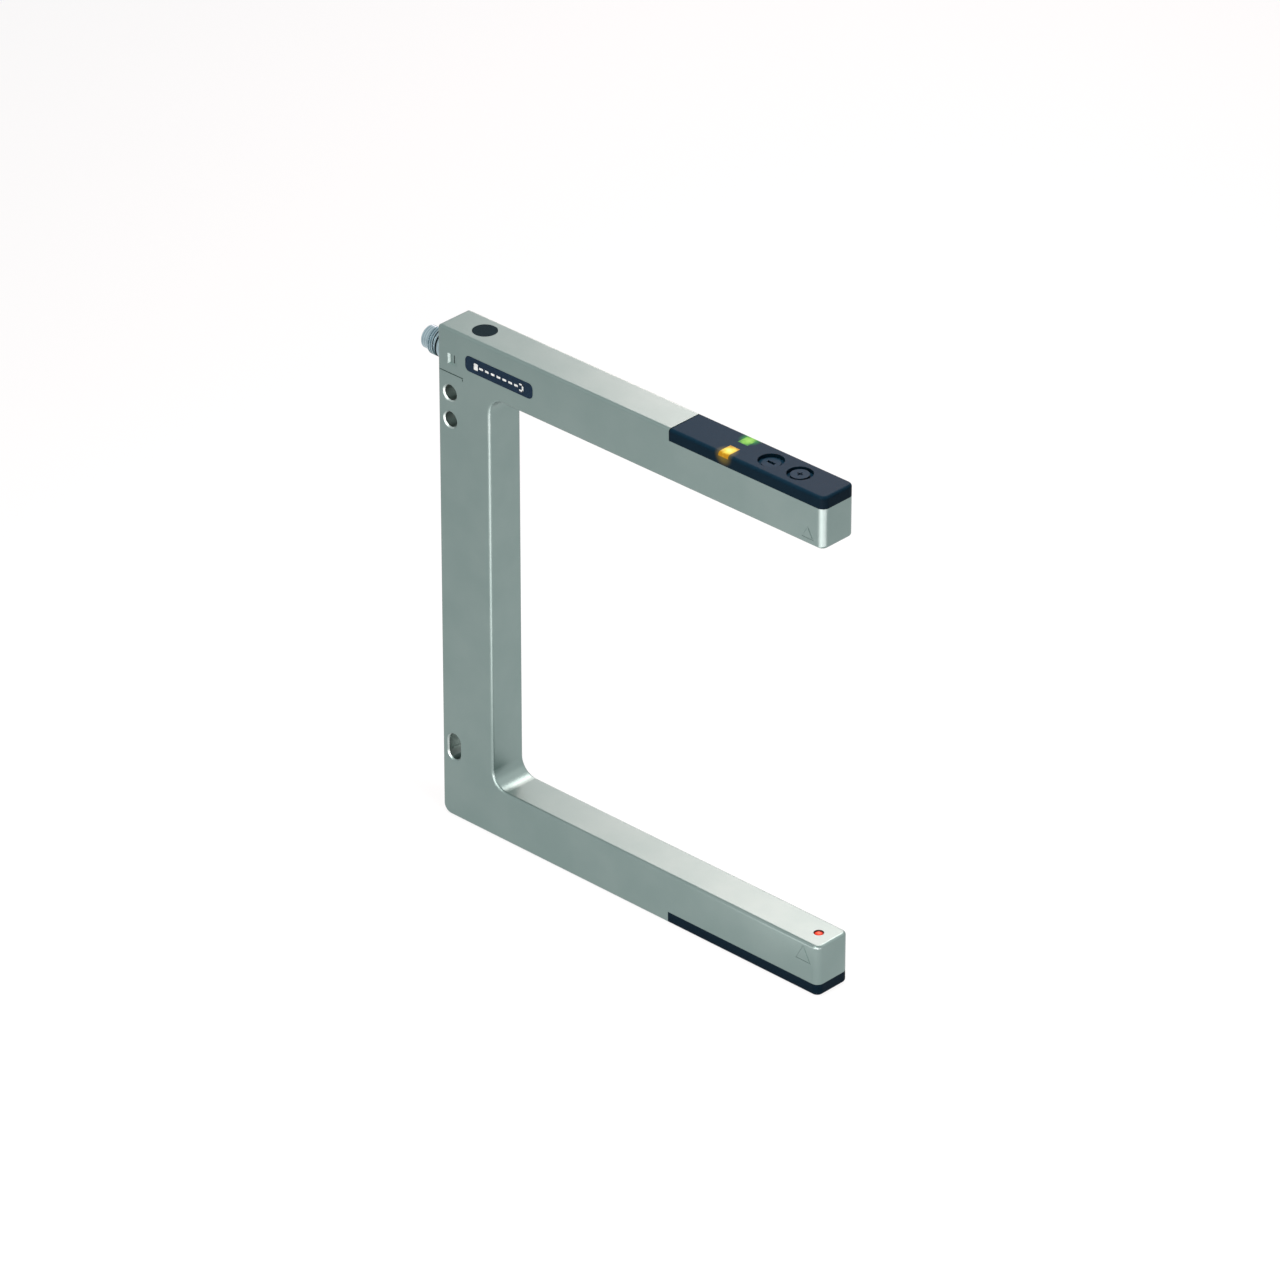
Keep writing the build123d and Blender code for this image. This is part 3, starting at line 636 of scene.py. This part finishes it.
def header_plastic():
    """Natural nylon of a wire header: warm off-white with a waxy look."""
    material, tree, surface, place = finish("natural nylon", Roughness=0.45, Subsurface_Weight=0.1)
    haze = add(tree, "ShaderNodeTexNoise", {"Vector": place, "Scale": per_mm(1.5), "Detail": 2.0})
    two_tone(tree, surface, haze.outputs["Fac"], "#D2CDBA", "#E6E2D2")
    return material


def chip_resistor_ceramic():
    """Glazed ceramic of chip resistors and capacitors: dark brown, clouded with a lighter clay."""
    material, tree, surface, place = finish("glazed chip ceramic", Roughness=0.35)
    glaze = add(tree, "ShaderNodeTexNoise", {"Vector": place, "Scale": per_mm(0.5), "Detail": 2.0})
    two_tone(tree, surface, glaze.outputs["Fac"], "#2A2522", "#6E6357")
    return material


def chip_plastic():
    """Epoxy moulding compound of a chip: charcoal with a fine spark-eroded grain."""
    material, tree, surface, place = finish("epoxy moulding compound", Roughness=0.62)
    grain = add(tree, "ShaderNodeTexNoise", {"Vector": place, "Scale": per_mm(0.12), "Detail": 2.0})
    two_tone(tree, surface, grain.outputs["Fac"], "#161719", "#242629")
    relief(tree, surface, grain.outputs["Fac"], 0.006, 0.5)
    return material


def clear_lens():
    """Clear moulded acrylic over a dark receiver: it shows deep red-black, with a crisp highlight."""
    material, tree, surface, place = finish("clear moulded acrylic", Roughness=0.06, IOR=1.49)
    depth = add(tree, "ShaderNodeTexNoise", {"Vector": place, "Scale": per_mm(1.6), "Detail": 1.0})
    two_tone(tree, surface, depth.outputs["Fac"], "#1B1013", "#33191D")
    return material


def lit_lens(name, centre_x, radius, rim, body, core, strength):
    """Clear lens with a red source behind it: bright in the middle, deep red towards its rim."""
    material, tree, surface, place = finish(name, Roughness=0.3, Specular_IOR_Level=0.1,
                                            Emission_Strength=strength)
    centred = add(tree, "ShaderNodeMapping", {"Vector": place, "Location": (-centre_x, 0, 0),
                                              "Scale": (1, 1, 0)})
    from_axis = add(tree, "ShaderNodeVectorMath", {0: centred.outputs["Vector"]}, operation="LENGTH")
    share = add(tree, "ShaderNodeMath", {0: from_axis.outputs["Value"], 1: radius}, operation="DIVIDE")
    lit_through(tree, surface, share.outputs["Value"], core, body, rim, (0.12, 0.55, 0.95))
    two_tone(tree, surface, share.outputs["Value"], body, rim, 0.3, 0.9)
    return material


def red_lit_lens():
    """Clear moulded acrylic of the emitter, with its lamp lit."""
    low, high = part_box("emitter_lens")
    return lit_lens("red lit acrylic", (low.x + high.x) / 2, EMITTER_GLOW_RADIUS, rim="#5A1410",
                    body="#C83420", core="#FF7A58", strength=0.8)


def holder_plastic():
    """Light-tight black moulding round each lens: nearly matt, so that no stray light runs through."""
    material, tree, surface, place = finish("light-tight black nylon", Roughness=0.7)
    grain = add(tree, "ShaderNodeTexNoise", {"Vector": place, "Scale": per_mm(0.3), "Detail": 2.0})
    two_tone(tree, surface, grain.outputs["Fac"], "#0C0D0E", "#17181A")
    return material


def photodiode_resin():
    """Dark red filter resin that passes only the beam's colour."""
    material, tree, surface, place = finish("dark red filter resin", Roughness=0.15, IOR=1.55)
    depth = add(tree, "ShaderNodeTexNoise", {"Vector": place, "Scale": per_mm(0.8), "Detail": 1.0})
    two_tone(tree, surface, depth.outputs["Fac"], "#22090B", "#3A1014")
    return material


def red_led_resin():
    """Red tinted epoxy of the source, lit through."""
    material, tree, surface, place = finish("red tinted epoxy", Roughness=0.2,
                                            Emission_Color=linear("#D8402C"), Emission_Strength=0.8)
    depth = add(tree, "ShaderNodeTexNoise", {"Vector": place, "Scale": per_mm(0.8), "Detail": 1.0})
    two_tone(tree, surface, depth.outputs["Fac"], "#A82A1C", "#E05038")
    return material


def dark_plate_film():
    """Screen-printed film on a thin plate: blue-black, semi-matt."""
    material, tree, surface, place = finish("printed plate film", Roughness=0.5, Specular_IOR_Level=0.04)
    print_grain = add(tree, "ShaderNodeTexNoise", {"Vector": place, "Scale": per_mm(0.35), "Detail": 2.0})
    two_tone(tree, surface, print_grain.outputs["Fac"], "#132231", "#192A3A")
    relief(tree, surface, print_grain.outputs["Fac"], 0.004, 0.4)
    return material


def light_print():
    """Pale grey screen print: a thick matt ink with slightly uneven cover."""
    material, tree, surface, place = finish("pale grey ink", Roughness=0.55)
    cover = add(tree, "ShaderNodeTexNoise", {"Vector": place, "Scale": per_mm(0.6), "Detail": 3.0})
    two_tone(tree, surface, cover.outputs["Fac"], "#AEB8B8", "#CDD5D4")
    return material


def nickel_plated_brass():
    """Turned brass with bright nickel: fine rings of the lathe tool, drawn coarse enough to show."""
    material, tree, surface, place = finish("bright nickel on turned brass", Metallic=1.0, Roughness=0.25)
    rings = add(tree, "ShaderNodeTexWave", {"Vector": place, "Scale": per_mm(2.4), "Distortion": 0.6,
                                            "Detail": 1.0}, bands_direction="X")
    two_tone(tree, surface, rings.outputs["Fac"], "#8C9FA6", "#A2B6BD", 0.2, 0.8)
    uneven_gloss(tree, surface, rings.outputs["Fac"], 0.2, 0.3)
    relief(tree, surface, rings.outputs["Fac"], 0.003, 0.4)
    return material


def insert_plastic():
    """Glass-filled nylon of the pin carrier: black, slightly fibrous."""
    material, tree, surface, place = finish("glass-filled black nylon", Roughness=0.55)
    fibres = add(tree, "ShaderNodeTexNoise", {"Vector": place, "Scale": per_mm(0.25), "Detail": 3.0,
                                              "Distortion": 1.2})
    two_tone(tree, surface, fibres.outputs["Fac"], "#101113", "#1D1F22")
    return material


def gold_plated_brass():
    """Turned pins with a thin gold plating: warm and bright, with faint turning rings."""
    material, tree, surface, place = finish("gold on turned brass", Metallic=1.0, Roughness=0.22)
    rings = add(tree, "ShaderNodeTexWave", {"Vector": place, "Scale": per_mm(3), "Distortion": 0.4},
                bands_direction="X")
    two_tone(tree, surface, rings.outputs["Fac"], "#C79A45", "#D8AE5A", 0.2, 0.8)
    return material


def wire_insulation():
    """Thin-wall insulation: the four leads are brown, white, blue and black, told apart by where they lie."""
    material, tree, surface, place = finish("thin-wall wire insulation", Roughness=0.45)
    low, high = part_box("connector_leads")
    axes = add(tree, "ShaderNodeSeparateXYZ", {"Vector": place})
    upper = add(tree, "ShaderNodeMath", {0: axes.outputs["Z"], 1: (low.z + high.z) / 2},
                operation="GREATER_THAN")
    rear = add(tree, "ShaderNodeMath", {0: axes.outputs["Y"], 1: 0.0}, operation="GREATER_THAN")
    above = add(tree, "ShaderNodeMix", {"Factor": rear.outputs["Value"], "A": linear("#5A3420"),
                                        "B": linear("#D8D6CE")}, data_type="RGBA")
    below = add(tree, "ShaderNodeMix", {"Factor": rear.outputs["Value"], "A": linear("#1F4C9A"),
                                        "B": linear("#17181A")}, data_type="RGBA")
    both = add(tree, "ShaderNodeMix", {"Factor": upper.outputs["Value"], "A": below.outputs["Result"],
                                       "B": above.outputs["Result"]}, data_type="RGBA")
    tree.links.new(both.outputs["Result"], surface.inputs["Base Color"])
    return material


def ribbon_film():
    """Amber polyimide film over copper tracks, which show as darker stripes along it."""
    material, tree, surface, place = finish("polyimide film on copper", Roughness=0.3)
    tracks = add(tree, "ShaderNodeTexWave", {"Vector": place, "Scale": per_mm(12)}, bands_direction="Y")
    two_tone(tree, surface, tracks.outputs["Fac"], "#8A4A12", "#C07C24", 0.3, 0.7)
    return material


finishes = {
    "nickel_plated_zinc": nickel_plated_zinc,
    "black_cover_plastic": black_cover_plastic,
    "black_rubber": black_rubber,
    "yellow_window_plastic": yellow_window_plastic,
    "green_window_plastic": green_window_plastic,
    "led_ceramic": led_ceramic,
    "control_plastic": control_plastic,
    "trimmer_plastic": trimmer_plastic,
    "board_laminate": board_laminate,
    "header_plastic": header_plastic,
    "chip_resistor_ceramic": chip_resistor_ceramic,
    "chip_plastic": chip_plastic,
    "clear_lens": clear_lens,
    "red_lit_lens": red_lit_lens,
    "holder_plastic": holder_plastic,
    "photodiode_resin": photodiode_resin,
    "red_led_resin": red_led_resin,
    "dark_plate_film": dark_plate_film,
    "nickel_plated_brass": nickel_plated_brass,
    "insert_plastic": insert_plastic,
    "gold_plated_brass": gold_plated_brass,
    "wire_insulation": wire_insulation,
    "ribbon_film": ribbon_film,
}
made = {slot: make() for slot, make in finishes.items()}
for subpart in frame["record"]["subparts"]:
    node = frame["nodes"][subpart["node"]]
    node.data.materials.clear()
    node.data.materials.append(made[subpart["material_slot"]])


def dress(piece, material, body="housing"):
    """Give a new piece the material of the record's slot that it stands for, and the body that carries it."""
    piece.data.materials.clear()
    piece.data.materials.append(material)
    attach(piece, body)


barrel = connector_barrel()
dress(barrel, made["nickel_plated_brass"])
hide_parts("connector_shell")
ring = connector_ring()
dress(ring, made["black_rubber"])
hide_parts("connector_o_ring")
plate = front_plate()
dress(plate, made["dark_plate_film"])
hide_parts("label_plate")
marks = plate_print()
dress(marks, light_print())


# Stage, camera and light

def white_where_seen(tree, seen, otherwise):
    """White for camera, mirror and glass rays, and the given shader for the light that falls on things."""
    path = add(tree, "ShaderNodeLightPath")
    direct = add(tree, "ShaderNodeMath", {0: path.outputs["Is Camera Ray"], 1: path.outputs["Is Glossy Ray"]},
                 operation="MAXIMUM")
    any_view = add(tree, "ShaderNodeMath", {0: direct.outputs["Value"],
                                            1: path.outputs["Is Transmission Ray"]}, operation="MAXIMUM")
    return add(tree, "ShaderNodeMixShader", {0: any_view.outputs["Value"], 1: otherwise, 2: seen})


def studio_floor():
    """Pale floor that shows white and keeps a faint shadow."""
    deselect()
    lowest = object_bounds()[0][2]
    bpy.ops.mesh.primitive_plane_add(size=FLOOR_SIZE, location=(0, 0, lowest - FLOOR_DROP))
    floor = new_piece("studio_floor")
    apply_place(floor)
    material = bpy.data.materials.new("pale floor")
    material.use_nodes = True
    tree = material.node_tree
    tree.nodes.clear()
    paint = add(tree, "ShaderNodeBsdfDiffuse", {"Color": linear("#C9CCCB")})
    white = add(tree, "ShaderNodeEmission", {"Color": (1, 1, 1, 1), "Strength": FLOOR_WHITE})
    shaded = add(tree, "ShaderNodeBsdfDiffuse", {"Color": (FLOOR_SHADED, FLOOR_SHADED, FLOOR_SHADED, 1)})
    seen = add(tree, "ShaderNodeAddShader", {0: white.outputs["Emission"], 1: shaded.outputs["BSDF"]})
    mix = white_where_seen(tree, seen.outputs["Shader"], paint.outputs["BSDF"])
    add(tree, "ShaderNodeOutputMaterial", {"Surface": mix.outputs["Shader"]})
    floor.data.materials.append(material)
    floor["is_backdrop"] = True


def studio_world(strength):
    """Plain soft light from all round, seen as white."""
    world = bpy.data.worlds.new("studio")
    bpy.context.scene.world = world
    world.use_nodes = True
    tree = world.node_tree
    tree.nodes.clear()
    white = add(tree, "ShaderNodeBackground", {"Color": (1, 1, 1, 1), "Strength": 1.0})
    soft = add(tree, "ShaderNodeBackground", {"Color": linear("#F4F8FF"), "Strength": strength})
    mix = white_where_seen(tree, white.outputs["Background"], soft.outputs["Background"])
    add(tree, "ShaderNodeOutputWorld", {"Surface": mix.outputs["Shader"]})


def soft_box(name, place, target, width, height, watts, colour="#FFFFFF", lean=0.0):
    """A soft area lamp at a place, turned to face a target, its height upright or leaning by some degrees."""
    lamp = bpy.data.lights.new(name, "AREA")
    lamp.shape = "RECTANGLE"
    lamp.size = width
    lamp.size_y = height
    lamp.energy = watts
    lamp.color = linear(colour)[:3]
    holder = bpy.data.objects.new(name, lamp)
    bpy.context.scene.collection.objects.link(holder)
    holder.location = place
    facing = (Vector(target) - Vector(place)).to_track_quat("-Z", "Y")
    holder.rotation_euler = (facing @ Quaternion((0, 0, 1), math.radians(lean))).to_euler()
    holder.visible_camera = False
    return holder


scene = bpy.context.scene
scene.view_settings.view_transform = "Standard"
camera_data = bpy.data.cameras.new("camera")
camera_data.sensor_width = SENSOR_WIDTH_MM
camera_data.lens = FOCAL_PIXELS / FRAME_PIXELS * SENSOR_WIDTH_MM
camera = bpy.data.objects.new("camera", camera_data)
scene.collection.objects.link(camera)
camera.location = CAMERA_PLACE
camera.rotation_euler = (math.radians(90 - CAMERA_ELEVATION), 0, math.radians(CAMERA_AZIMUTH))
scene.camera = camera

studio_floor()
studio_world(WORLD_LIGHT)
soft_box("rear_left_box", place=(-0.239, 0.478, 0.30), target=(0.146, 0.013, -0.05), width=0.2, height=0.5,
         watts=1.14, colour="#FFDBDA", lean=12)
soft_box("low_front_box", place=(0.24, -0.18, -0.105), target=(0.07, 0.0, -0.02), width=0.8, height=0.05,
         watts=0.8, colour="#FFE6E8")
# Right over the covers: it lights matt plastic from above, and stays out of the metal's reflections
overhead_box = soft_box("overhead_box", place=(0.105, 0.0, 0.20), target=(0.105, 0.0, 0.0), width=0.12,
                        height=0.1, watts=1.05)
overhead_box.visible_glossy = False
soft_box("floor_box", place=(0.112, -0.099, -0.128), target=(0.102, -0.089, 0.10), width=0.09, height=0.26,
         watts=0.18, colour="#FFF0EE")
soft_box("front_strip", place=(0.251, -0.471, 0.179), target=(0.0146, -0.006, -0.116), width=0.81,
         height=0.14, watts=3.0, colour="#FFF6F2", lean=-50.5)
soft_box("top_rear_box", place=(-0.06, 0.43, 0.42), target=(0.02, 0.0, -0.11), width=0.32, height=0.2,
         watts=1.4, colour="#FFF0EE")
soft_box("rear_right_box", place=(0.46, 0.50, 0.33), target=(0.02, 0.0, -0.11), width=0.5, height=0.5,
         watts=0.5, colour="#FFF0EE")
